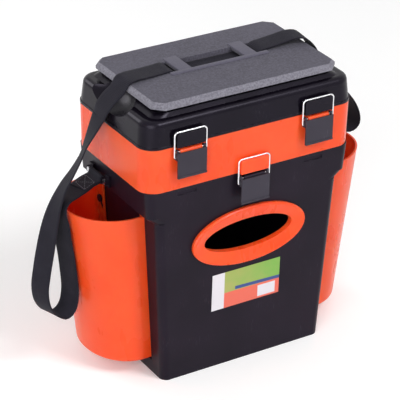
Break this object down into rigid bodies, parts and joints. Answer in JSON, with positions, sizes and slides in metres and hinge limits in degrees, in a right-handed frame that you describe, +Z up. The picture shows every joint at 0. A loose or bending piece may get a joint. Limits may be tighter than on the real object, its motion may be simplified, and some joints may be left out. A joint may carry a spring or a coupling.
{
  "type": "fishing seat box",
  "caption": "Tapered box with a hinged tackle tray, padded lid, wire draw latches, oval front port, two side pockets and a webbing shoulder strap.",
  "frame": {"origin": "on the floor below the middle of the box", "axes": "+X to the right along the front, the front faces -Y, +Z up"},
  "size_m": [0.4698, 0.198, 0.3938],
  "materials": {
    "black_plastic": "moulded satin",
    "orange_plastic": "moulded satin",
    "lever_plastic": "fine grain",
    "bright_wire": "bright drawn wire",
    "steel_pin": "ground",
    "screw_steel": "zinc",
    "small_black_plastic": "satin",
    "divider_plastic": "satin",
    "foam_pad": "closed-cell foam",
    "label_film": "printed film",
    "webbing": "woven webbing"
  },
  "bodies": {
    "box": {"lower_body": "black_plastic", "port_ring": "orange_plastic", "front_label": "label_film", "tray_hinge_pin": "steel_pin", "latch_centre_pin": "steel_pin", "pocket_left_studs": "small_black_plastic", "pocket_right_studs": "small_black_plastic", "strap_anchor_left": "small_black_plastic", "strap_anchor_right": "small_black_plastic", "strap_anchor_left_screws": "screw_steel", "strap_anchor_right_screws": "screw_steel", "strap_end_left": "webbing", "strap_end_right": "webbing", "strap_left_loop": "webbing", "strap_left_lower": "webbing", "strap_right_lower": "webbing"},
    "tray": {"tray_shell": "orange_plastic", "tray_divider_left": "divider_plastic", "tray_divider_right": "divider_plastic", "lid_hinge_pin": "steel_pin", "latch_left_pin": "steel_pin", "latch_right_pin": "steel_pin", "strap_left_upper": "webbing", "strap_right_upper": "webbing"},
    "lid": {"lid_shell": "black_plastic", "seat_pad": "foam_pad", "strap_top": "webbing"},
    "lever_left": {"latch_left_lever": "lever_plastic"},
    "bail_left": {"latch_left_bail": "bright_wire"},
    "lever_right": {"latch_right_lever": "lever_plastic"},
    "bail_right": {"latch_right_bail": "bright_wire"},
    "lever_centre": {"latch_centre_lever": "lever_plastic"},
    "bail_centre": {"latch_centre_bail": "bright_wire"},
    "side_pocket_left": {"pocket_left": "orange_plastic"},
    "side_pocket_right": {"pocket_right": "orange_plastic"}
  },
  "joints": [
    {"name": "tray_hinge", "type": "hinge", "parent": "box", "child": "tray", "pos_m": [0, 0.0945, 0.274], "axis": [-1, 0, 0], "range_deg": [0, 95], "deforming": ["strap_left_lower", "strap_right_lower"]},
    {"name": "lid_hinge", "type": "hinge", "parent": "tray", "child": "lid", "pos_m": [0, 0.0945, 0.332], "axis": [-1, 0, 0], "range_deg": [0, 100], "deforming": ["strap_left_upper", "strap_right_upper"]},
    {"name": "lever_left_turn", "type": "hinge", "parent": "tray", "child": "lever_left", "pos_m": [-0.091, -0.0924, 0.326], "axis": [-1, 0, 0], "range_deg": [0, 95]},
    {"name": "bail_left_turn", "type": "hinge", "parent": "lever_left", "child": "bail_left", "pos_m": [-0.091, -0.0924, 0.319], "axis": [-1, 0, 0], "range_deg": [-104.5, 0]},
    {"name": "lever_right_turn", "type": "hinge", "parent": "tray", "child": "lever_right", "pos_m": [0.091, -0.0924, 0.326], "axis": [-1, 0, 0], "range_deg": [0, 95]},
    {"name": "bail_right_turn", "type": "hinge", "parent": "lever_right", "child": "bail_right", "pos_m": [0.091, -0.0924, 0.319], "axis": [-1, 0, 0], "range_deg": [-104.5, 0]},
    {"name": "lever_centre_turn", "type": "hinge", "parent": "box", "child": "lever_centre", "pos_m": [0, -0.0924, 0.268], "axis": [-1, 0, 0], "range_deg": [0, 95]},
    {"name": "bail_centre_turn", "type": "hinge", "parent": "lever_centre", "child": "bail_centre", "pos_m": [0, -0.0924, 0.261], "axis": [-1, 0, 0], "range_deg": [-104.5, 0]},
    {"name": "pocket_left_lift", "type": "slide", "parent": "box", "child": "side_pocket_left", "axis": [-0.0569, 0, 0.9984], "range_m": [0, 0.01]},
    {"name": "pocket_right_lift", "type": "slide", "parent": "box", "child": "side_pocket_right", "axis": [0.0569, 0, 0.9984], "range_m": [0, 0.01]}
  ],
  "couplings": [
    {"joint": "bail_left_turn", "follows": "lever_left_turn", "ratio": -1.1},
    {"joint": "bail_right_turn", "follows": "lever_right_turn", "ratio": -1.1},
    {"joint": "bail_centre_turn", "follows": "lever_centre_turn", "ratio": -1.1}
  ]
}
